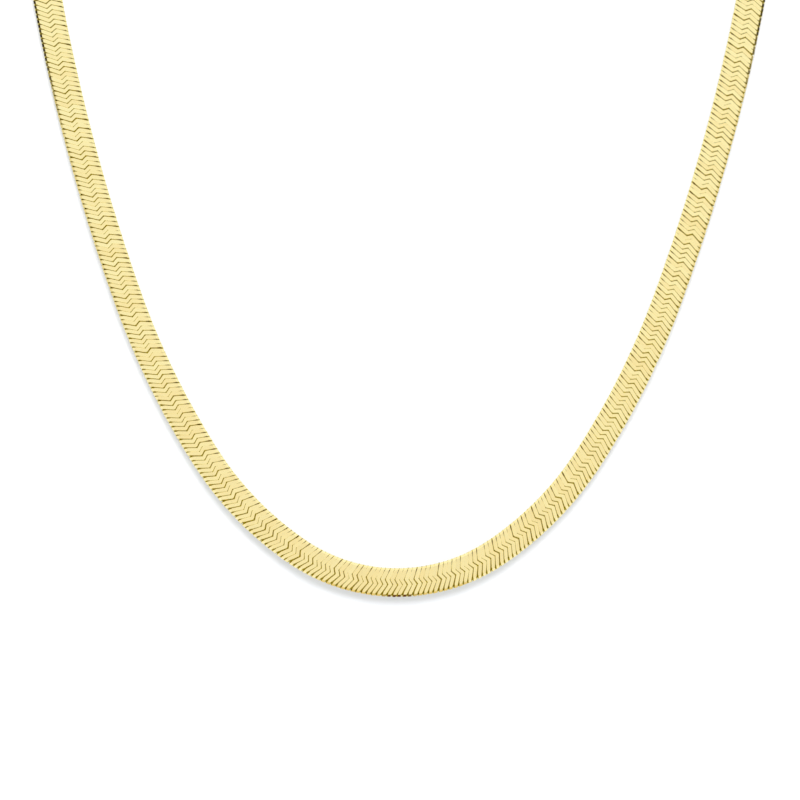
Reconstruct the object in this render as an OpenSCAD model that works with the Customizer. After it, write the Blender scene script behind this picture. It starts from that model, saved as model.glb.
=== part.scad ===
// Flat snake chain necklace, hanging open in one plane.
// +X is to the right, -Y is the front face, +Z is up.
// The origin is inside the top of the loop, where a neck or a peg carries it.

/* [Chain] */
// Width of the flat chain
chain_w = 4.7; // [3.5:0.1:5.5]
// Thickness of the flat chain
chain_t = 1.1; // [0.9:0.05:1.4]
// Depth of the rounding along each edge of the chain
edge_w = 0.4; // [0.2:0.05:0.5]
// Distance from one link to the next
link_pitch = 0.8; // [0.6:0.05:1]

/* [Loop] */
// Bending radius of the lowest stretch
low_r = 29.3; // [26:0.1:34]
// Length of the lowest stretch on each side
low_len = 17.5; // [16:0.5:21]
// Bending radius of the stretch beside it
side_r = 54; // [48:1:64]
// Length of that stretch
side_len = 21.5; // [20:0.5:26]
// Bending radius of the stretch where the sides rise
rise_r = 128; // [110:2:160]
// Length of that stretch
rise_len = 29; // [20:0.5:32]
// Bending radius of the two long strands above
strand_r = 320; // [240:5:400]
// Length of each strand
strand_len = 53; // [40:1:60]

/* [End caps] */
// Wall round the end of the chain
cap_wall = 0.35; // [0.3:0.05:0.5]
// Length of the straight sleeve of a cap
cap_sleeve = 3.4; // [3:0.1:5]
// Length of the shoulder that narrows to the eye
cap_shoulder = 2.4; // [2:0.1:3]
// Radius of the hole in the eye
eye_hole_r = 0.9; // [0.75:0.05:1]
// Metal round the hole in the eye
eye_rim = 0.6; // [0.5:0.05:0.7]
// Thickness of the eye
eye_t = 0.7; // [0.6:0.05:0.8]

/* [Jump rings] */
// Outer diameter of a jump ring
ring_d = 4; // [3.8:0.1:4.6]
// Wire diameter of a jump ring
ring_wire = 0.7; // [0.6:0.05:0.8]

/* [Clasp] */
// Radius of the claw's bow, to the middle of its wire
claw_r = 1.75; // [1.6:0.05:2]
// Radius at the narrow end of the claw, to the middle of its wire
claw_tip_r = 0.75; // [0.6:0.05:0.9]
// Distance between the middles of the claw's two ends
claw_len = 4.4; // [4:0.1:6]
// Thickness of the claw's wire in its two bows
claw_wire = 1; // [0.9:0.05:1.1]
// Thickness of the straight sides between the bows
claw_side_d = 0.9; // [0.8:0.05:0.9]
// Length of the neck between the claw and its eye
clasp_neck = 0.9; // [0.8:0.1:1.5]
// Diameter of that neck
clasp_neck_d = 0.8; // [0.7:0.05:0.9]
// Radius of the clasp's eye, to the middle of its wire
clasp_eye_r = 1.05; // [1:0.05:1.2]
// Wire diameter of the clasp's eye
clasp_eye_wire = 0.6; // [0.5:0.05:0.7]
// Radius of the thumb tab on the claw
thumb_r = 0.55; // [0.4:0.05:0.6]
// Thickness of the thumb tab
thumb_t = 0.7; // [0.5:0.05:0.8]

/* [Fits] */
// Play between two pieces that hang in each other
play = 0.15; // [0.1:0.01:0.2]
// Gap between the chain and its cap, all round
seat_gap = 0.08; // [0.05:0.01:0.1]

/* [Hidden] */
$fn = 64;
GOLD = [0.957, 0.886, 0.631];
DEEP_GOLD = [0.906, 0.804, 0.494];

// Cap sizes outside, and its eye
cap_w = chain_w + 2 * (seat_gap + cap_wall);
cap_t = chain_t + 2 * (seat_gap + cap_wall);
cap_round = cap_t / 3;
cap_eye_x = cap_sleeve + cap_shoulder;
eye_r = eye_hole_r + eye_rim;

// A jump ring's wire is centred on ring_mid_r, and reach is how far from the
// ring's centre the inside of an eye lies that hangs in it
ring_mid_r = (ring_d - ring_wire) / 2;
reach = ring_mid_r - ring_wire / 2 - play;

// The clasp, laid along X with the claw at the left
claw_turn = acos((claw_r - claw_tip_r) / claw_len);
claw_side = sqrt(pow(claw_len, 2) - pow(claw_r - claw_tip_r, 2));
side_sink = 0.15;
clasp_eye_x = claw_len + claw_tip_r + clasp_neck + clasp_eye_r;
clasp_inner = claw_r - claw_wire / 2 + clasp_eye_x + clasp_eye_r - clasp_eye_wire / 2;
ring_x = clasp_inner / 2 + reach;
claw_x = -ring_x + reach + claw_r - claw_wire / 2;

// The hanging bends on each side, from the lowest point up
LENGTH = 0;
RADIUS = 1;
hanging = [[low_len, low_r], [side_len, side_r], [rise_len, rise_r], [strand_len, strand_r]];

// A place on the middle line is [x, z, slope in degrees], from the lowest point
function along(place, radius, length) =
    let(slope = place[2] + length / radius * 180 / PI)
    [place[0] + radius * (sin(slope) - sin(place[2])),
     place[1] + radius * (cos(place[2]) - cos(slope)),
     slope];
function foot(bends, i) = i == 0 ? [0, 0, 0]
    : along(foot(bends, i - 1), bends[i - 1][RADIUS], bends[i - 1][LENGTH]);

// Above the strands an arc round the middle closes the loop without a kink,
// and a straight run leads through cap and ring
drop = foot(hanging, len(hanging));
arc_r = drop[0] / sin(drop[2]);
arc_z = drop[1] + arc_r * cos(drop[2]);
cap_run = cap_eye_x + eye_hole_r + reach;
cap_turn = asin(ring_x / norm([arc_r, cap_run])) + atan2(cap_run, arc_r);
arc_len = arc_r * (180 - drop[2] - cap_turn) * PI / 180;
top_z = arc_z + arc_r * cos(cap_turn) + cap_run * sin(cap_turn);
bends = concat(hanging, [[arc_len, arc_r]]);

// Height of the origin above the lowest point of the middle line
origin_z = top_z - chain_w / 2;

// The chain is a whole number of links, and each end reaches cap_grip into its cap
free_len = low_len + side_len + rise_len + strand_len + arc_len;
link_n = 2 * floor((free_len + cap_sleeve - cap_wall - seat_gap) / link_pitch);
chain_half = link_n * link_pitch / 2;
cap_grip = chain_half - free_len;

// One ring of the swept solid every few links
ring_links = 4;
ring_n = ceil(link_n / ring_links);

// The place at a length s from the lowest point up the right-hand side, which
// lies on bend i or further on, and on the straight run past the last bend
function on_right(s, i = 0) =
    i == len(bends) ? let(mouth = foot(bends, i))
        [mouth[0] + s * cos(mouth[2]), mouth[1] + s * sin(mouth[2]), mouth[2]]
    : s <= bends[i][LENGTH] ? along(foot(bends, i), bends[i][RADIUS], s)
    : on_right(s - bends[i][LENGTH], i + 1);

// The same for both sides, with s positive to the right
function route(s) = s >= 0 ? on_right(s)
    : let(p = on_right(-s)) [-p[0], p[1], -p[2]];

// The chain's section as [across, thick] points, with both edges rounded
edge_steps = 6;
half_section = [for (i = [0:edge_steps])
    let(a = -90 + 180 * i / edge_steps)
    [chain_w / 2 - edge_w + edge_w * cos(a), chain_t / 2 * sin(a)]];
section = concat(half_section, [for (p = half_section) -p]);

// One section point carried to the route: across is towards the inside
function placed(p, r) = [r[0] - p[0] * sin(r[2]), -p[1], r[1] + p[0] * cos(r[2]) - origin_z];

module chain() {
    m = len(section);
    points = [for (i = [0:ring_n])
        let(r = route(chain_half * (2 * i / ring_n - 1)))
        for (p = section) placed(p, r)];
    sides = [for (i = [0:ring_n - 1], j = [0:m - 1])
        let(k = (j + 1) % m)
        [i * m + j, i * m + k, (i + 1) * m + k, (i + 1) * m + j]];
    first = [for (j = [0:m - 1]) m - 1 - j];
    last = [for (j = [0:m - 1]) ring_n * m + j];
    color(GOLD) polyhedron(points, concat([first], sides, [last]));
}

// A plate drawn as along-and-across, standing in the loop's plane
module plate(thick) {
    rotate([90, 0, 0]) linear_extrude(thick, center = true) children();
}

module cap_plan() {
    polygon([
        [0, -cap_w / 2], [cap_sleeve, -cap_w / 2], [cap_eye_x, -eye_r],
        [cap_eye_x, eye_r], [cap_sleeve, cap_w / 2], [0, cap_w / 2]]);
}

module cap_side() {
    shoulder_end = cap_eye_x - eye_hole_r;
    polygon([
        [0, -cap_t / 2], [cap_sleeve, -cap_t / 2], [shoulder_end, -eye_t / 2],
        [cap_eye_x, -eye_t / 2], [cap_eye_x, eye_t / 2], [shoulder_end, eye_t / 2],
        [cap_sleeve, cap_t / 2], [0, cap_t / 2]]);
}

module cap_section() {
    square([cap_t, cap_w - 2 * cap_round], center = true);
    square([cap_t - 2 * cap_round, cap_w], center = true);
    for (y = [-1, 1], z = [-1, 1])
        translate([y * (cap_t / 2 - cap_round), z * (cap_w / 2 - cap_round)]) circle(cap_round);
}

// A disc about the middle of the eye
module cap_eye_disc(radius, thick) {
    translate([cap_eye_x, 0, 0]) rotate([90, 0, 0]) cylinder(h = thick, r = radius, center = true);
}

// An end cap with its mouth at X = 0 and its eye towards +X
module end_cap() {
    pocket_w = chain_w + 2 * seat_gap;
    pocket_t = chain_t + 2 * seat_gap;
    pocket_d = cap_grip + seat_gap;
    difference() {
        union() {
            intersection() {
                plate(2 * cap_t) cap_plan();
                linear_extrude(2 * cap_w, center = true) cap_side();
                rotate([90, 0, 90]) linear_extrude(cap_eye_x) cap_section();
            }
            cap_eye_disc(eye_r, eye_t);
        }
        cube([2 * pocket_d, pocket_t, pocket_w], center = true);
        cap_eye_disc(eye_hole_r, 2 * cap_t);
    }
}

// Where the right-hand cap starts, and the same on the left by mirroring
module at_right_mouth() {
    r = route(free_len);
    translate([r[0], 0, r[1] - origin_z]) rotate([0, -r[2], 0]) children();
}

module end_cap_right() {
    color(GOLD) at_right_mouth() end_cap();
}

module end_cap_left() {
    color(GOLD) mirror([1, 0, 0]) at_right_mouth() end_cap();
}

// A jump ring lies level at right angles to the eyes, halfway between their slopes
module jump_ring(side) {
    color(DEEP_GOLD) translate([side * ring_x, 0, top_z - origin_z])
        rotate([0, side * cap_turn / 2, 0])
            rotate_extrude() translate([ring_mid_r, 0]) circle(d = ring_wire);
}

module jump_ring_left() {
    jump_ring(-1);
}

module jump_ring_right() {
    jump_ring(1);
}

// Part of a round wire bent in the loop's plane, from one angle over a sweep
module bow(radius, wire, from, sweep) {
    rotate([90, 0, 0]) rotate([0, 0, from])
        rotate_extrude(angle = sweep) translate([radius, 0]) circle(d = wire);
}

// The claw's straight sides, sunk a little into both bows
module claw_sides() {
    for (side = [-1, 1])
        translate([claw_r * cos(claw_turn), 0, side * claw_r * sin(claw_turn)])
            rotate([0, 90 + side * (90 - claw_turn), 0])
                translate([0, 0, -side_sink]) cylinder(h = claw_side + 2 * side_sink, d = claw_side_d);
}

module clasp() {
    neck_x = claw_len + claw_tip_r;
    thumb_x = claw_len / 2;
    thumb_z = (claw_r + claw_tip_r + claw_side_d) / 2;
    color(DEEP_GOLD) translate([claw_x, 0, top_z - origin_z]) {
        bow(claw_r, claw_wire, claw_turn, 360 - 2 * claw_turn);
        claw_sides();
        translate([claw_len, 0, 0]) bow(claw_tip_r, claw_wire, -claw_turn, 2 * claw_turn);
        translate([neck_x, 0, 0]) rotate([0, 90, 0]) cylinder(h = clasp_neck, d = clasp_neck_d);
        translate([clasp_eye_x, 0, 0]) bow(clasp_eye_r, clasp_eye_wire, 0, 360);
        translate([thumb_x, 0, thumb_z]) rotate([90, 0, 0])
            cylinder(h = thumb_t, r = thumb_r, center = true);
    }
}

chain();
end_cap_left();
end_cap_right();
jump_ring_left();
jump_ring_right();
clasp();
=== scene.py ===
"""A flat snake chain necklace: polished links laid along a hanging loop, and a white studio."""

import math
from functools import partial

import bpy
from bpy.props import FloatProperty, FloatVectorProperty, IntProperty, PointerProperty
from bpy.types import NodeSocket, Operator, Panel, PropertyGroup, Scene
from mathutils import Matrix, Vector


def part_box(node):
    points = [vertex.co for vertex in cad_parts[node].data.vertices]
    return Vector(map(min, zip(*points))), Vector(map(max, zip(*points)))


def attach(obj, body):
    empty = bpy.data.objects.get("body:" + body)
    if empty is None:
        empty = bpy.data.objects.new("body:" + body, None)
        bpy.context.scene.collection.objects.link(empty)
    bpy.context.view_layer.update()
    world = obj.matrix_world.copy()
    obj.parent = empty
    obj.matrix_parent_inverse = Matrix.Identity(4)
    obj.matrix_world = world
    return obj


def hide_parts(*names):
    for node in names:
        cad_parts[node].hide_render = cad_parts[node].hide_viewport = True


bl_info = {
    "name": "Flat Snake Chain",
    "version": (1, 0, 0),
    "blender": (4, 5, 0),
    "location": "View3D > Sidebar > Snake Chain",
    "description": "Lays polished links along a hanging loop and lights them in a white studio",
    "category": "Add Mesh",
}

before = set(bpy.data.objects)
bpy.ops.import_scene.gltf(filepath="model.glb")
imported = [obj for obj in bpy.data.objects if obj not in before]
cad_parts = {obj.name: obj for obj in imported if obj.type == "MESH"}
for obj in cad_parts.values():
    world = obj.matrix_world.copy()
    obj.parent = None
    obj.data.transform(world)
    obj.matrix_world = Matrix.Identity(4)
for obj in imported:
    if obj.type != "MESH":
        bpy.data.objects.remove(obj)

MM = 0.001
FINDINGS = ("end_cap_left", "end_cap_right", "jump_ring_left", "jump_ring_right", "clasp")

# The loop's middle line passes through the middle of each jump ring
RING_LOW, RING_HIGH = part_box("jump_ring_right")
RING_MIDDLE = (RING_LOW + RING_HIGH) / 2
CHAIN_LOW, CHAIN_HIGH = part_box("chain")


class LoopSizes(PropertyGroup):
    """The line that the middle of the chain hangs in."""

    low_bend: FloatVectorProperty(
        name="Low Bend",
        description="Length on each side and bending radius of the lowest stretch",
        default=(17.5 * MM, 29.3 * MM), size=2, precision=4, unit="LENGTH")
    side_bend: FloatVectorProperty(
        name="Side Bend",
        description="Length and bending radius of the stretch beside the lowest one",
        default=(21.5 * MM, 54 * MM), size=2, precision=4, unit="LENGTH")
    rise_bend: FloatVectorProperty(
        name="Rise Bend",
        description="Length and bending radius of the stretch where the sides rise",
        default=(29 * MM, 128 * MM), size=2, precision=4, unit="LENGTH")
    strand_bend: FloatVectorProperty(
        name="Strand Bend",
        description="Length and bending radius of the long strand above",
        default=(53 * MM, 320 * MM), size=2, precision=4, unit="LENGTH")
    findings_run: FloatProperty(
        name="Findings Run",
        description="Straight way from the mouth of an end cap to the middle of its jump ring",
        default=7.85 * MM, min=5 * MM, max=12 * MM, precision=4, unit="LENGTH")
    pitch: FloatProperty(
        name="Link Pitch",
        description="Distance from one link to the next",
        default=0.8 * MM, min=0.5 * MM, max=1.5 * MM, precision=5, unit="LENGTH")
    links: IntProperty(
        name="Links",
        description="Number of links, whose first and last sit in the end caps",
        default=532, min=10, max=600)


class LinkShape(PropertyGroup):
    """One link, a bent plate with two arms and a step between them."""

    width: FloatProperty(
        name="Width",
        description="Width of the chain, from tip to tip of a link",
        default=4.73 * MM, min=3 * MM, max=6 * MM, precision=4, unit="LENGTH")
    thickness: FloatProperty(
        name="Thickness",
        description="Thickness of a link between its two polished faces",
        default=CHAIN_HIGH.y - CHAIN_LOW.y, min=0.8 * MM, max=1.5 * MM, precision=4, unit="LENGTH")
    outer_corner: FloatVectorProperty(
        name="Outer Corner",
        description="Corner between the outer arm and the step, across the chain and along it",
        default=(-0.371 * MM, 0.231 * MM), size=2, precision=5, unit="LENGTH")
    inner_corner: FloatVectorProperty(
        name="Inner Corner",
        description="Corner between the step and the inner arm, across the chain and along it",
        default=(0.452 * MM, -0.280 * MM), size=2, precision=5, unit="LENGTH")
    outer_lead: FloatProperty(
        name="Outer Lead",
        description="How far along the chain the outer tip lies from the link's middle",
        default=-0.976 * MM, precision=5, unit="LENGTH")
    inner_lead: FloatProperty(
        name="Inner Lead",
        description="How far along the chain the inner tip lies from the link's middle",
        default=0.529 * MM, precision=5, unit="LENGTH")
    corner_round: FloatProperty(
        name="Corner Round",
        description="Length before and after a corner in which the line of a link bends",
        default=0.12 * MM, min=0.02 * MM, max=0.4 * MM, precision=5, unit="LENGTH")
    tip_curve: FloatVectorProperty(
        name="Tip Curve",
        description="How far the outer tip and the inner one curve back from a straight arm",
        default=(0.155 * MM, 0.04 * MM), size=2, precision=5, unit="LENGTH")
    tip_cut: FloatProperty(
        name="Tip Cut",
        description="Width of the slanting cut at both tips, front and back",
        default=0.36 * MM, min=0.1 * MM, max=0.4 * MM, precision=5, unit="LENGTH")
    curve_start: FloatProperty(
        name="Curve Start",
        description="Share of the way from the middle to a tip after which the tip curves",
        default=0.66, min=0.3, max=0.95, subtype="FACTOR")
    notch: FloatVectorProperty(
        name="Notch",
        description="Gap at the very tips on the outside, and how far the cores stay apart there",
        default=(0.29 * MM, 0.05 * MM), size=2, precision=5, unit="LENGTH")
    tip_shade: FloatProperty(
        name="Tip Shade",
        description="How dark the grooves are at the very tips of the links",
        default=0.3, min=0, max=1, subtype="FACTOR")
    core_reaches: FloatVectorProperty(
        name="Core Reaches",
        description="How far the core of a link reaches into the next one, at the tips and between",
        default=(0.1 * MM, 0.25 * MM), size=2, precision=5, unit="LENGTH")
    tip_gaps: FloatVectorProperty(
        name="Tip Gaps",
        description="Gap between two links at the outer tips and at the inner ones",
        default=(0.255 * MM, 0.23 * MM), size=2, precision=5, unit="LENGTH")
    arm_places: FloatVectorProperty(
        name="Arm Places",
        description="Share of the outer arm and of the inner one after which the gap widens",
        default=(0.62, 0.45), size=2, min=0.2, max=0.8)
    arm_gap: FloatProperty(
        name="Arm Gap",
        description="Gap between two links at the narrowest place of an arm",
        default=0.1 * MM, min=0.01 * MM, max=0.2 * MM, precision=5, unit="LENGTH")
    step_gaps: FloatVectorProperty(
        name="Step Gaps",
        description="Gap between two links at the corners of the step and in its middle",
        default=(0.22 * MM, 0.17 * MM), size=2, precision=5, unit="LENGTH")
    fan: FloatProperty(
        name="Fan",
        description="Length added to half the pitch where a bend opens and closes the gaps",
        default=0.5 * MM, min=0, max=1.5 * MM, precision=5, unit="LENGTH")
    shift: FloatVectorProperty(
        name="Shift",
        description="Most that a link lies out of place along, through and across the chain",
        default=(0.06 * MM, 0.004 * MM, 0.01 * MM), size=3, precision=6, unit="LENGTH")
    wobble: FloatVectorProperty(
        name="Wobble",
        description="Most that a link is turned about the chain's length, thickness and width",
        default=[math.radians(a) for a in (0.35, 0.7, 0.6)], size=3, subtype="EULER")
    seed: IntProperty(
        name="Seed",
        description="Picks another set of small misplacements",
        default=7, min=0)


class GoldFinish(PropertyGroup):
    """Colours and polish of the metal, and the painted shade of its grooves."""

    light_gold: FloatVectorProperty(
        name="Light Gold",
        description="Colour of the palest links",
        default=(0.955, 0.845, 0.455), size=3, min=0, max=1, subtype="COLOR")
    deep_gold: FloatVectorProperty(
        name="Deep Gold",
        description="Colour of the warmest links",
        default=(0.935, 0.785, 0.385), size=3, min=0, max=1, subtype="COLOR")
    # Painted shade: the dark colour that the grooves between links are mixed towards, in place of the
    # shade that falls there
    groove_shade: FloatVectorProperty(
        name="Groove",
        description="Colour of the metal deep between two links",
        default=(0.62, 0.54, 0.08), size=3, min=0, max=1, subtype="COLOR")
    findings_gold: FloatVectorProperty(
        name="Findings Gold",
        description="Colour of the end caps, jump rings and clasp",
        default=(0.89, 0.70, 0.30), size=3, min=0, max=1, subtype="COLOR")
    roughness: FloatProperty(
        name="Roughness",
        description="Roughness of the polished faces",
        default=0.13, min=0.02, max=0.6, subtype="FACTOR")
    scratch_depth: FloatProperty(
        name="Scratch Depth",
        description="Depth of the fine polishing marks",
        default=0.0004 * MM, min=0, max=0.01 * MM, precision=7, unit="LENGTH")


class WhiteStudio(PropertyGroup):
    """Camera, paper and lights."""

    view_width: FloatProperty(
        name="View Width",
        description="Width of the picture at the front faces of the links",
        default=132 * MM, min=20 * MM, max=1, precision=4, unit="LENGTH")
    view_middle: FloatVectorProperty(
        name="View Middle",
        description="Point on the front faces that the camera looks at, across and up",
        default=(0.469 * MM, -135.1 * MM), size=2, precision=5, unit="LENGTH")
    camera_roll: FloatProperty(
        name="Camera Roll",
        description="How far the picture leans to the right",
        default=math.radians(0.25), precision=4, unit="ROTATION")
    camera_distance: FloatProperty(
        name="Camera Distance",
        description="Distance from the camera to the front faces",
        default=1.2, min=0.3, max=5, unit="LENGTH")
    wall_gaps: FloatVectorProperty(
        name="Wall Gaps",
        description="Distance back to the paper above the loop, beside it and below it",
        default=(4 * MM, 1.05 * MM, 2.35 * MM), size=3, precision=4, unit="LENGTH")
    floor_drop: FloatProperty(
        name="Floor Drop",
        description="Height from the floor up to the inside of the loop's top",
        default=0.3, min=0.2, max=2, unit="LENGTH")
    paper_size: FloatProperty(
        name="Paper Size",
        description="Width of the floor and of the wall",
        default=6, min=1, max=20, unit="LENGTH")
    paper_glow: FloatVectorProperty(
        name="Paper Glow",
        description="Light that the wall gives by itself, which keeps its shadows grey",
        default=(0.03, 0.05, 0.11), size=3, min=0, max=1, subtype="COLOR")
    key_power: FloatProperty(
        name="Key Power",
        description="Power of the soft lamp above the camera",
        default=6.5, min=0, max=200, unit="POWER")
    key_way: FloatVectorProperty(
        name="Key Way",
        description="Direction from the loop to the soft lamp",
        default=(0.08, -1, 0.52), size=3, subtype="DIRECTION")
    key_size: FloatProperty(
        name="Key Size",
        description="Width of the soft lamp, which stands one metre away",
        default=0.5, min=0.05, max=2, unit="LENGTH")
    sky: FloatProperty(
        name="Sky",
        description="Strength of the soft white light from all round",
        default=1.15, min=0, max=5)


def add_node(tree, kind, inputs=None, **settings):
    """Adds a node, then sets or links its inputs, which are given by name or by place."""
    column_width = 220
    node = tree.nodes.new(kind)
    node.location = (column_width * len(tree.nodes), 0)
    for name, value in settings.items():
        setattr(node, name, value)
    for key, value in (inputs or {}).items():
        if isinstance(value, NodeSocket):
            tree.links.new(value, node.inputs[key])
        else:
            node.inputs[key].default_value = value
    return node


def add_sockets(tree, way, sockets):
    """Gives a node group its named inputs or outputs, and returns their identifiers."""
    return {
        name: tree.interface.new_socket(name, in_out=way, socket_type=kind).identifier
        for name, kind in sockets.items()}


def place(name, data):
    """Puts mesh, curve, lamp or camera data into the scene, in place of an older object."""
    if name in bpy.data.objects:
        bpy.data.objects.remove(bpy.data.objects[name])
    made = bpy.data.objects.new(name, data)
    bpy.context.scene.collection.objects.link(made)
    return made


def mesh_of(name, points, faces):
    """A mesh from its points and faces."""
    mesh = bpy.data.meshes.new(name)
    mesh.from_pydata(points, [], faces)
    mesh.validate()
    return mesh


def along(start, radius, length):
    """The place a length further on along an arc. A place is x, z and slope."""
    x, z, slope = start
    end = slope + length / radius
    return (x + radius * (math.sin(end) - math.sin(slope)),
            z + radius * (math.cos(slope) - math.cos(end)), end)


class Route:
    """The chain's middle line, by its length from the lowest point, positive to the right."""

    def __init__(self, loop):
        self.bends = []
        foot = (0, 0, 0)
        for length, radius in (loop.low_bend, loop.side_bend, loop.rise_bend, loop.strand_bend):
            self.bends.append((foot, radius, length))
            foot = along(foot, radius, length)
        # The last arc is centred between the two sides. It ends in the mouth of the end cap, from
        # where the straight run leads to the middle of the jump ring.
        x, _, slope = foot
        arc_r = x / math.sin(slope)
        run = loop.findings_run
        cap_turn = math.asin(RING_MIDDLE.x / math.hypot(arc_r, run)) + math.atan2(run, arc_r)
        arc_len = arc_r * (math.pi - slope - cap_turn)
        self.bends.append((foot, arc_r, arc_len))
        self.mouth = along(foot, arc_r, arc_len)
        self.lowest = RING_MIDDLE.z - self.mouth[1] - run * math.sin(cap_turn)

    def right(self, s):
        """Place on the right-hand side, above the lowest point."""
        for foot, radius, length in self.bends:
            if s <= length:
                return along(foot, radius, s)[:2]
            s -= length
        x, z, slope = self.mouth
        return x + s * math.cos(slope), z + s * math.sin(slope)

    def bend(self, s):
        """How strongly the line bends, as one over its radius."""
        for _, radius, length in self.bends:
            if s <= length:
                return 1 / radius
            s -= length
        return 0

    def at(self, s):
        """Place in the frame, in metres."""
        x, z = self.right(abs(s))
        return Vector((math.copysign(x, s), 0, z + self.lowest))


def route_curve(loop):
    """The stretch of the middle line from the first link to the last, as a fine curve.

    The radius of a point holds how strongly the line bends there.
    """
    steps_per_link = 4
    route = Route(loop)
    steps = steps_per_link * (loop.links - 1)
    reach = loop.pitch * (loop.links - 1) / 2
    curve = bpy.data.curves.new("route", "CURVE")
    curve.dimensions = "3D"
    spline = curve.splines.new("POLY")
    spline.points.add(steps)
    for i, point in enumerate(spline.points):
        s = reach * (2 * i / steps - 1)
        point.co = (*route.at(s), 1)
        point.radius = route.bend(abs(s))
    return curve


def link_line(shape, across):
    """How far along the chain the middle line of a link lies, at a place across the chain."""
    tip = shape.width / 2
    turns = (
        (-tip, shape.outer_lead), shape.outer_corner, shape.inner_corner, (tip, shape.inner_lead))

    def straight(c):
        part = 0 if c < turns[1][0] else 2 if c > turns[2][0] else 1
        (c_0, s_0), (c_1, s_1) = turns[part], turns[part + 1]
        return s_0 + (c - c_0) * (s_1 - s_0) / (c_1 - c_0)

    reach = shape.corner_round / 2
    bent = (straight(across - reach) + straight(across + reach)) / 2
    outer_curve, inner_curve = shape.tip_curve
    curve = outer_curve if across < 0 else -inner_curve
    past = max(0, abs(across) / tip - shape.curve_start) / (1 - shape.curve_start)
    return bent + curve * past ** 2


def link_stations(shape):
    """Rows across a link from its outer tip: across, half thickness, gap, core reach, shade.

    The gap is the one to the next link, and the shade is how strongly painted shade darkens the
    grooves there.
    """
    tip, cut, bend = shape.width / 2, shape.tip_cut, shape.corner_round
    half_t = shape.thickness / 2
    outer_c, inner_c = shape.outer_corner[0], shape.inner_corner[0]
    outer_gap, inner_gap = shape.tip_gaps
    notch_gap, notch_reach = shape.notch
    outer_arm, inner_arm = shape.arm_places
    end, core = shape.core_reaches
    corner_gap, step_gap = shape.step_gaps
    return (
        (-tip, half_t - cut, notch_gap, -notch_reach, shape.tip_shade),
        (cut - tip, half_t, outer_gap, end, 1),
        (outer_c - outer_arm * (tip + outer_c), half_t, shape.arm_gap, core, 1),
        (outer_c - bend, half_t, shape.arm_gap, core, 1),
        (outer_c, half_t, corner_gap, core, 1),
        (outer_c + bend, half_t, step_gap, core, 1),
        (inner_c - bend, half_t, step_gap, core, 1),
        (inner_c, half_t, corner_gap, core, 1),
        (inner_c + bend, half_t, shape.arm_gap, core, 1),
        (inner_c + inner_arm * (tip - inner_c), half_t, shape.arm_gap, core, 1),
        (tip - cut, half_t, inner_gap, end, 1),
        (tip, half_t - cut, inner_gap, end, shape.tip_shade))


def link_mesh(shape, pitch):
    """One closed link: X along the chain, Y through it, Z across it towards the inside.

    The point attribute of the grooves holds painted shade: 0 on the faces and up to 1 in the core
    between two links. Side is how far across the chain a face's edge lies, with the sign turned round
    at its rear edge, and 0 in the core and at the tips.
    """
    points, groove_shade, side = [], [], []
    for across, half_t, gap, reach, shade in link_stations(shape):
        lead = link_line(shape, across)
        edge = (pitch - gap) / 2
        spreads = abs(across) < shape.width / 2
        half = [(pitch / 2 + reach, 0, shade), (edge, half_t, 0), (-edge, half_t, 0)]
        for x, y, g in half + [(-x, -y, g) for x, y, g in half]:
            points.append((lead + x, y, across))
            groove_shade.append(g)
            side.append(math.copysign(across, across * x) if y and spreads else 0)
    around = 2 * len(half)
    rows = len(points) // around
    faces = [
        [i * around + j, i * around + (j + 1) % around,
         (i + 1) * around + (j + 1) % around, (i + 1) * around + j]
        for i in range(rows - 1) for j in range(around)]
    faces.append(list(range(around))[::-1])
    faces.append(list(range((rows - 1) * around, rows * around)))
    mesh = mesh_of("link", points, faces)
    for name, values in (("groove_shade", groove_shade), ("side", side)):
        mesh.attributes.new(name, "FLOAT", "POINT").data.foreach_set("value", values)
    return mesh


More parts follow.
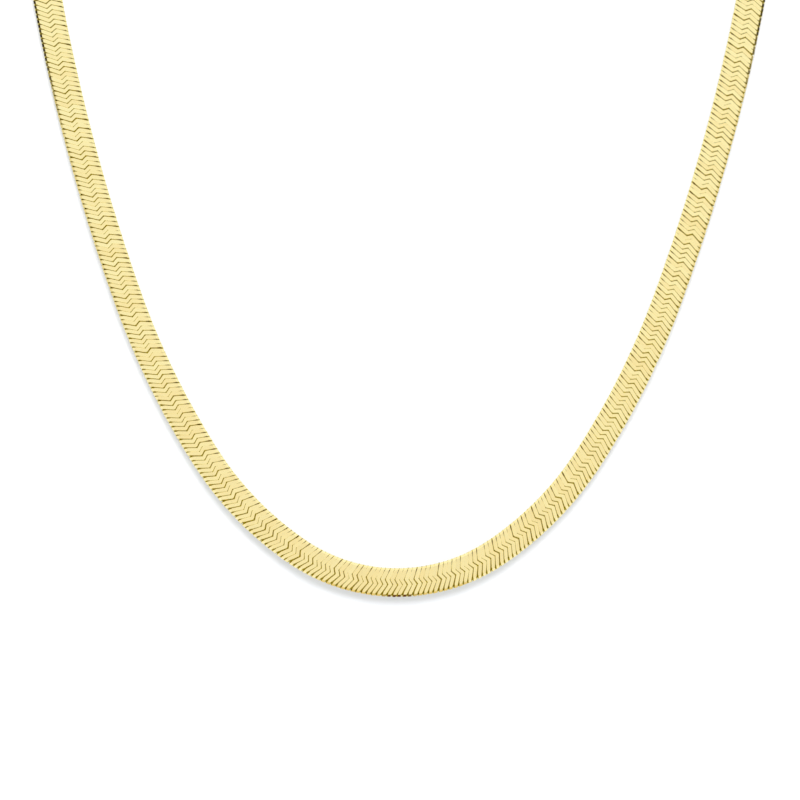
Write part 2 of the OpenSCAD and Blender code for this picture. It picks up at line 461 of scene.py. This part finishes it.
def links_tree():
    """Geometry nodes that lay a link at each step of a route, each a little out of place.

    Fan moves the edges of the links along the route where it bends, so that the gaps open on the
    outside of the bend and close on the inside.
    """
    tree = bpy.data.node_groups.new("links_along_route", "GeometryNodeTree")
    inputs = add_sockets(tree, "INPUT", {
        "Geometry": "NodeSocketGeometry",
        "Route": "NodeSocketObject",
        "Link": "NodeSocketObject",
        "Count": "NodeSocketInt",
        "Fan": "NodeSocketFloat",
        "Shift": "NodeSocketVector",
        "Wobble": "NodeSocketVector",
        "Seed": "NodeSocketInt",
        "Material": "NodeSocketMaterial"})
    add_sockets(tree, "OUTPUT", {"Geometry": "NodeSocketGeometry"})
    add = partial(add_node, tree)
    given = add("NodeGroupInput").outputs

    def attribute(name, kind="FLOAT"):
        return add("GeometryNodeInputNamedAttribute", {"Name": name}, data_type=kind).outputs[0]

    def product(a, b):
        return add("ShaderNodeMath", {0: a, 1: b}, operation="MULTIPLY").outputs[0]

    def scaled(vector, scale):
        return add("ShaderNodeVectorMath", {"Vector": vector, "Scale": scale},
                   operation="SCALE").outputs[0]

    def random_vector(size, more_seed):
        """A vector from -size to size, another one for each link."""
        seed = add("ShaderNodeMath", {0: given["Seed"], 1: more_seed}, operation="ADD").outputs[0]
        unit = add("FunctionNodeRandomValue", {"Min": (-1, -1, -1), "Max": (1, 1, 1), "Seed": seed},
                   data_type="FLOAT_VECTOR").outputs["Value"]
        return add("ShaderNodeVectorMath", {0: unit, 1: size}, operation="MULTIPLY").outputs[0]

    # Where each link lies, and how it is turned
    route = add("GeometryNodeObjectInfo", {"Object": given["Route"]}).outputs["Geometry"]
    steps = add("GeometryNodeCurveToPoints", {"Curve": route, "Count": given["Count"]},
                mode="COUNT").outputs
    lie = add("FunctionNodeAxesToRotation",
              {"Primary Axis": steps["Tangent"], "Secondary Axis": (0, 1, 0)},
              primary_axis="X", secondary_axis="Y").outputs[0]
    wobble = add("FunctionNodeEulerToRotation",
                 {"Euler": random_vector(given["Wobble"], 1)}).outputs[0]
    turned = add("FunctionNodeRotateRotation", {"Rotation": lie, "Rotate By": wobble},
                 rotation_space="LOCAL").outputs[0]
    shift = add("FunctionNodeRotateVector",
                {"Vector": random_vector(given["Shift"], 2), "Rotation": lie}).outputs[0]
    spots = add("GeometryNodeSetPosition",
                {"Geometry": steps["Points"], "Offset": shift}).outputs[0]

    # The way in which a link's edges move, by the bend that the radius holds
    way = scaled(steps["Tangent"], product(attribute("radius"), given["Fan"]))
    marked = add("GeometryNodeStoreNamedAttribute",
                 {"Geometry": spots, "Name": "way", "Value": way},
                 data_type="FLOAT_VECTOR").outputs[0]

    # The links, each with a tone of its own
    link = add("GeometryNodeObjectInfo", {"Object": given["Link"]}).outputs["Geometry"]
    laid = add("GeometryNodeInstanceOnPoints",
               {"Points": marked, "Instance": link, "Rotation": turned}).outputs[0]
    tone = add("FunctionNodeRandomValue", {"Seed": given["Seed"]},
               data_type="FLOAT").outputs["Value"]
    toned = add("GeometryNodeStoreNamedAttribute",
                {"Geometry": laid, "Name": "link_tone", "Value": tone},
                data_type="FLOAT", domain="INSTANCE").outputs[0]
    fused = add("GeometryNodeRealizeInstances", {"Geometry": toned}).outputs[0]
    fan = scaled(attribute("way", "FLOAT_VECTOR"), attribute("side"))
    fanned = add("GeometryNodeSetPosition", {"Geometry": fused, "Offset": fan}).outputs[0]
    gilded = add("GeometryNodeSetMaterial",
                 {"Geometry": fanned, "Material": given["Material"]}).outputs[0]
    add("NodeGroupOutput", {"Geometry": gilded})
    return tree, inputs


def mixed_color(tree, share, first, second):
    """A colour between two others, from all of the first at 0 to all of the second at 1."""
    return add_node(tree, "ShaderNodeMix", {"Factor": share, "A": first, "B": second},
                    data_type="RGBA").outputs["Result"]


def blank_material(name):
    """A material whose node tree is still empty."""
    material = bpy.data.materials.get(name) or bpy.data.materials.new(name)
    material.use_nodes = True
    material.node_tree.nodes.clear()
    return material


def polish_group():
    """Shader group: clouded gold, and the fine marks that polishing leaves."""
    name = "polished_gold"
    if name in bpy.data.node_groups:
        return bpy.data.node_groups[name]
    tree = bpy.data.node_groups.new(name, "ShaderNodeTree")
    add_sockets(tree, "INPUT", {
        "Vector": "NodeSocketVector",
        "Light Gold": "NodeSocketColor",
        "Deep Gold": "NodeSocketColor",
        "Tone": "NodeSocketFloat",
        "Cloud Scale": "NodeSocketFloat",
        "Mark Scale": "NodeSocketFloat",
        "Roughness": "NodeSocketFloat"})
    add_sockets(tree, "OUTPUT", {
        "Color": "NodeSocketColor", "Roughness": "NodeSocketFloat", "Height": "NodeSocketFloat"})
    add = partial(add_node, tree)
    given = add("NodeGroupInput").outputs
    cloud_share = 0.4
    clouds = add("ShaderNodeTexNoise", {
        "Vector": given["Vector"], "Scale": given["Cloud Scale"], "Detail": 2.0}).outputs["Fac"]
    clouded = add("ShaderNodeMix", {"Factor": cloud_share, "A": given["Tone"], "B": clouds},
                  data_type="FLOAT").outputs["Result"]
    marks = add("ShaderNodeTexNoise", {
        "Vector": given["Vector"], "Scale": given["Mark Scale"], "Detail": 3.0,
        "Distortion": 1.5}).outputs["Fac"]
    change = add("ShaderNodeMapRange", {
        "Value": marks, "To Min": 0.7, "To Max": 1.3}).outputs["Result"]
    roughness = add("ShaderNodeMath", {0: change, 1: given["Roughness"]},
                    operation="MULTIPLY").outputs[0]
    add("NodeGroupOutput", {
        "Color": mixed_color(tree, clouded, given["Light Gold"], given["Deep Gold"]),
        "Roughness": roughness, "Height": marks})
    return tree


def gold_material(name, finish, light, deep, tone, cloud_scale, mark_scale):
    """A polished gold. Returns the material with its shader and polish nodes.

    The tone goes from 0 for the light gold to 1 for the deep one. It is given as a number, or by
    the name of the attribute that holds it.
    """
    material = blank_material(name)
    add = partial(add_node, material.node_tree)
    if isinstance(tone, str):
        tone = add("ShaderNodeAttribute", attribute_name=tone).outputs["Fac"]
    polish = add("ShaderNodeGroup", {
        "Vector": add("ShaderNodeTexCoord").outputs["Object"],
        "Light Gold": (*light, 1), "Deep Gold": (*deep, 1), "Tone": tone,
        "Cloud Scale": cloud_scale, "Mark Scale": mark_scale, "Roughness": finish.roughness},
        node_tree=polish_group())
    bump = add("ShaderNodeBump", {
        "Strength": 1.0, "Distance": finish.scratch_depth, "Height": polish.outputs["Height"]})
    shader = add("ShaderNodeBsdfPrincipled", {
        "Base Color": polish.outputs["Color"], "Metallic": 1.0,
        "Roughness": polish.outputs["Roughness"], "Normal": bump.outputs[0]})
    add("ShaderNodeOutputMaterial", {"Surface": shader.outputs[0]})
    return material, shader, polish


def links_material(finish):
    """Gold that changes a little from link to link, with painted shade that darkens it in the grooves.
    """
    dark_from = 0.15
    material, shader, polish = gold_material(
        "gold_links", finish, finish.light_gold, finish.deep_gold,
        tone="link_tone", cloud_scale=380.0, mark_scale=9000.0)
    tree = material.node_tree
    # Painted shade: deep in the grooves between links the gold is mixed towards a dark olive colour
    groove_shade = add_node(tree, "ShaderNodeAttribute", attribute_name="groove_shade").outputs["Fac"]
    depth = add_node(
        tree, "ShaderNodeMapRange", {"Value": groove_shade, "From Min": 0.0, "From Max": dark_from},
        interpolation_type="SMOOTHSTEP").outputs["Result"]
    color = mixed_color(tree, depth, polish.outputs["Color"], (*finish.groove_shade, 1))
    tree.links.new(color, shader.inputs["Base Color"])
    return material


def findings_material(finish):
    """Gold of the cast and bent pieces at the back of the neck."""
    deep_share = 0.93
    deep = [deep_share * c for c in finish.findings_gold]
    return gold_material(
        "gold_findings", finish, finish.findings_gold, deep,
        tone=0.4, cloud_scale=500.0, mark_scale=6000.0)[0]


class SNAKECHAIN_OT_lay_links(Operator):
    """Lay the polished links along the hanging loop"""

    bl_idname = "snake_chain.lay_links"
    bl_label = "Lay Links"

    def execute(self, context):
        loop, shape = context.scene.loop_sizes, context.scene.link_shape
        route = place("route", route_curve(loop))
        link = place("link", link_mesh(shape, loop.pitch))
        chain = place("chain_links", bpy.data.meshes.new("chain_links"))
        tree, inputs = links_tree()
        modifier = chain.modifiers.new("Links", "NODES")
        modifier.node_group = tree
        for name, value in {
                "Route": route, "Link": link, "Count": loop.links, "Fan": shape.fan,
                "Shift": shape.shift, "Wobble": Vector(shape.wobble), "Seed": shape.seed,
                "Material": links_material(context.scene.gold_finish)}.items():
            modifier[inputs[name]] = value
        laid = chain.evaluated_get(context.evaluated_depsgraph_get())
        chain.data = bpy.data.meshes.new_from_object(laid)
        chain.modifiers.clear()
        attributes = chain.data.attributes
        for name in ("way", "side"):
            attributes.remove(attributes[name])
        for helper in (route, link):
            bpy.data.objects.remove(helper)
        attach(chain, "root")
        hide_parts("chain")
        return {"FINISHED"}


class SNAKECHAIN_OT_finish_findings(Operator):
    """Give the end caps, jump rings and clasp their polished gold"""

    bl_idname = "snake_chain.finish_findings"
    bl_label = "Finish Findings"

    def execute(self, context):
        material = findings_material(context.scene.gold_finish)
        for name in FINDINGS:
            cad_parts[name].material_slots[0].material = material
        return {"FINISHED"}


def paper_material(name, tint, glow, one_sided):
    """Matt white paper with a faint grain. One-sided paper isn't seen from behind."""
    grain_share = 0.98
    material = blank_material(name)
    add = partial(add_node, material.node_tree)
    coords = add("ShaderNodeTexCoord").outputs["Object"]
    grain = add("ShaderNodeTexNoise", {"Vector": coords, "Scale": 900.0, "Detail": 2.0}).outputs["Fac"]
    light, dark = ((t, t, t, 1) for t in (tint, grain_share * tint))
    surface = add("ShaderNodeBsdfPrincipled", {
        "Base Color": mixed_color(material.node_tree, grain, light, dark),
        "Roughness": 0.9, "Specular IOR Level": 0.1,
        "Emission Color": (*glow, 1), "Emission Strength": 1.0}).outputs[0]
    if one_sided:
        back = add("ShaderNodeNewGeometry").outputs["Backfacing"]
        clear = add("ShaderNodeBsdfTransparent").outputs[0]
        surface = add("ShaderNodeMixShader", {0: back, 1: surface, 2: clear}).outputs[0]
    add("ShaderNodeOutputMaterial", {"Surface": surface})
    return material


def card_material(name, glow):
    """The matt paper of a card, black but for the glow that polished edges mirror."""
    material = blank_material(name)
    add = partial(add_node, material.node_tree)
    shader = add("ShaderNodeBsdfPrincipled", {
        "Base Color": (0, 0, 0, 1), "Specular IOR Level": 0.0,
        "Emission Color": (*glow, 1), "Emission Strength": 1.0})
    add("ShaderNodeOutputMaterial", {"Surface": shader.outputs[0]})
    return material


def hide_from(made, *rays):
    """Hides an object from the rays that are named, such as camera or shadow."""
    for ray in rays:
        setattr(made, "visible_" + ray, False)


def strip(name, profile, half_x, material):
    """A sheet across X along a profile of Y and Z points.

    It faces the front where the profile leads down, and up where it leads to the front.
    """
    points = [(x, y, z) for y, z in profile for x in (-half_x, half_x)]
    faces = [[2 * i, 2 * i + 2, 2 * i + 3, 2 * i + 1] for i in range(len(profile) - 1)]
    made = place(name, mesh_of(name, points, faces))
    made.data.materials.append(material)
    return made


def add_paper(studio):
    """A floor, and a wall that curves into it behind the loop."""
    half = studio.paper_size / 2
    floor_z = -studio.floor_drop
    high_y, side_y, wall_y = studio.wall_gaps
    # Heights between which the wall stands at each of its three distances from the loop
    top_z, high_z, side_top_z, side_foot_z, low_z = 1.0, -0.02, -0.06, -0.09, -0.17
    cove_r, cove_steps = 0.1, 12
    turns = [math.pi / 2 * i / cove_steps for i in range(cove_steps + 1)]
    cove = [(wall_y - cove_r * (1 - math.cos(t)), floor_z + cove_r * (1 - math.sin(t))) for t in turns]
    profile = [
        (high_y, top_z), (high_y, high_z), (side_y, side_top_z), (side_y, side_foot_z),
        (wall_y, low_z), *cove]
    wall = strip("paper_wall", profile, half, paper_material(
        "paper_wall", tint=0.72, glow=studio.paper_glow, one_sided=True))
    hide_from(wall, "diffuse", "glossy", "transmission", "shadow")
    strip("paper_floor", [(half, floor_z), (-half, floor_z)], half, paper_material(
        "paper_floor", tint=0.78, glow=(0, 0, 0), one_sided=False))


def add_card(name, middle, right, up, glow):
    """A card that only polished metal sees, from its middle and two half sides."""
    corners = [middle - right - up, middle + right - up, middle + right + up, middle - right + up]
    card = place(name, mesh_of(name, corners, [[0, 1, 2, 3]]))
    card.data.materials.append(card_material(name, glow))
    hide_from(card, "camera", "diffuse", "transmission", "shadow")


def add_cards():
    """The cards that the slanting tip cuts mirror, a pair on each side of the loop and one below.

    In each pair a small dark card stands before a wide light one. The angles of a dark card at
    the side are those from the middle of the strand, down to its foot and up to its top.
    """
    black, brown = (0.01, 0.003, 0.001), (0.09, 0.02, 0.004)
    grey, ochre = (0.88, 0.84, 0.7), (0.84, 0.72, 0.45)
    strand, away, behind = Vector((61 * MM, 0, -75 * MM)), 0.5, MM
    black_deep, grey_deep = Vector((0, 0.16, 0)), Vector((0, 0.2, 0))
    grey_z, grey_tall = -0.3, Vector((0, 0, 0.35))
    rise = 3
    for name, side, drop in (("card_left", -1, 12.0), ("card_right", 1, 9.95)):
        bottom = -away * math.tan(math.radians(drop))
        top = away * math.tan(math.radians(rise))
        middle = Vector((side * (strand.x + away), 0, strand.z + (bottom + top) / 2))
        add_card(name, middle, black_deep, Vector((0, 0, (top - bottom) / 2)), black)
        middle = Vector((side * (strand.x + away + behind), 0, grey_z))
        add_card(name + "_grey", middle, grey_deep, grey_tall, grey)
    brown_middle, brown_wide = Vector((3.8 * MM, 0, -252 * MM)), Vector((9 * MM, 0, 0))
    ochre_middle, ochre_wide = Vector((0, 0, -253 * MM)), Vector((50 * MM, 0, 0))
    deep = Vector((0, 40 * MM, 0))
    add_card("card_below", brown_middle, brown_wide, deep, brown)
    add_card("card_under", ochre_middle, ochre_wide, deep, ochre)


def add_lamp(name, power, size, spot, target):
    """A square soft lamp that lights the paper, and isn't mirrored in the metal."""
    data = bpy.data.lights.new(name, "AREA")
    data.energy, data.size = power, size
    lamp = place(name, data)
    lamp.location = spot
    lamp.rotation_euler = (target - spot).to_track_quat("-Z", "Y").to_euler()
    hide_from(lamp, "camera", "glossy")


def add_sky(studio):
    """Soft white light from all round, a little stronger from above. The camera sees plain white."""
    world = bpy.data.worlds.new("studio")
    bpy.context.scene.world = world
    world.use_nodes = True
    world.node_tree.nodes.clear()
    add = partial(add_node, world.node_tree)
    way = add("ShaderNodeTexCoord").outputs["Generated"]
    height = add("ShaderNodeSeparateXYZ", {"Vector": way}).outputs["Z"]
    share = add("ShaderNodeMapRange", {
        "Value": height, "From Min": -1.0, "From Max": 1.0}).outputs["Result"]
    ramp = add("ShaderNodeValToRGB", {"Fac": share})
    # The share of the way from straight down to straight up, and the light's colour there
    tints = (
        (0, (0.62, 0.60, 0.55)),
        (0.485, (0.86, 0.81, 0.72)),
        (0.53, (0.89, 0.93, 0.93)),
        (1, (1, 1, 1)))
    stops = ramp.color_ramp.elements
    for spot, _ in tints[1:-1]:
        stops.new(spot)
    for stop, (_, tint) in zip(stops, tints):
        stop.color = (*tint, 1)
    light = add("ShaderNodeBackground", {"Color": ramp.outputs["Color"], "Strength": studio.sky})
    white = add("ShaderNodeBackground", {"Color": (1, 1, 1, 1), "Strength": 1.0})
    seen = add("ShaderNodeLightPath").outputs["Is Camera Ray"]
    both = add("ShaderNodeMixShader", {0: seen, 1: light.outputs[0], 2: white.outputs[0]})
    add("ShaderNodeOutputWorld", {"Surface": both.outputs[0]})


def add_camera(studio):
    """A long lens, level with the middle of the picture."""
    data = bpy.data.cameras.new("camera")
    data.lens = data.sensor_width * studio.camera_distance / studio.view_width
    data.clip_start, data.clip_end = 0.05, 50
    camera = place("camera", data)
    x, z = studio.view_middle
    camera.location = (x, CHAIN_LOW.y - studio.camera_distance, z)
    camera.rotation_euler = (math.pi / 2, -studio.camera_roll, 0)
    bpy.context.scene.camera = camera


class SNAKECHAIN_OT_set_studio(Operator):
    """Set up the camera, the white paper and the soft light"""

    bl_idname = "snake_chain.set_studio"
    bl_label = "Set Studio"

    def execute(self, context):
        studio = context.scene.white_studio
        add_camera(studio)
        add_paper(studio)
        add_cards()
        add_sky(studio)
        target = Vector((0, 0, studio.view_middle[1]))
        spot = target + Vector(studio.key_way).normalized()
        add_lamp("key_lamp", studio.key_power, studio.key_size, spot, target)
        context.scene.view_settings.view_transform = "Standard"
        return {"FINISHED"}


class SNAKECHAIN_PT_maker(Panel):
    """Sidebar panel with the pieces and their sizes"""

    bl_idname = "SNAKECHAIN_PT_maker"
    bl_label = "Flat Snake Chain"
    bl_space_type = "VIEW_3D"
    bl_region_type = "UI"
    bl_category = "Snake Chain"

    def draw(self, context):
        for operator, groups in (
                (SNAKECHAIN_OT_lay_links, ("loop_sizes", "link_shape", "gold_finish")),
                (SNAKECHAIN_OT_finish_findings, ()),
                (SNAKECHAIN_OT_set_studio, ("white_studio",))):
            box = self.layout.box()
            box.operator(operator.bl_idname)
            for name in groups:
                group = getattr(context.scene, name)
                for prop in group.__annotations__:
                    box.prop(group, prop)


SETTINGS = {
    "loop_sizes": LoopSizes,
    "link_shape": LinkShape,
    "gold_finish": GoldFinish,
    "white_studio": WhiteStudio}
CLASSES = (
    *SETTINGS.values(), SNAKECHAIN_OT_lay_links, SNAKECHAIN_OT_finish_findings,
    SNAKECHAIN_OT_set_studio, SNAKECHAIN_PT_maker)


def register():
    for cls in CLASSES:
        bpy.utils.register_class(cls)
    for name, group in SETTINGS.items():
        setattr(Scene, name, PointerProperty(type=group))


def unregister():
    for name in SETTINGS:
        delattr(Scene, name)
    for cls in reversed(CLASSES):
        bpy.utils.unregister_class(cls)


def main():
    """Registers the classes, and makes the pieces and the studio."""
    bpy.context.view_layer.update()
    register()
    bpy.ops.snake_chain.lay_links()
    bpy.ops.snake_chain.finish_findings()
    bpy.ops.snake_chain.set_studio()


if __name__ == "__main__":
    main()
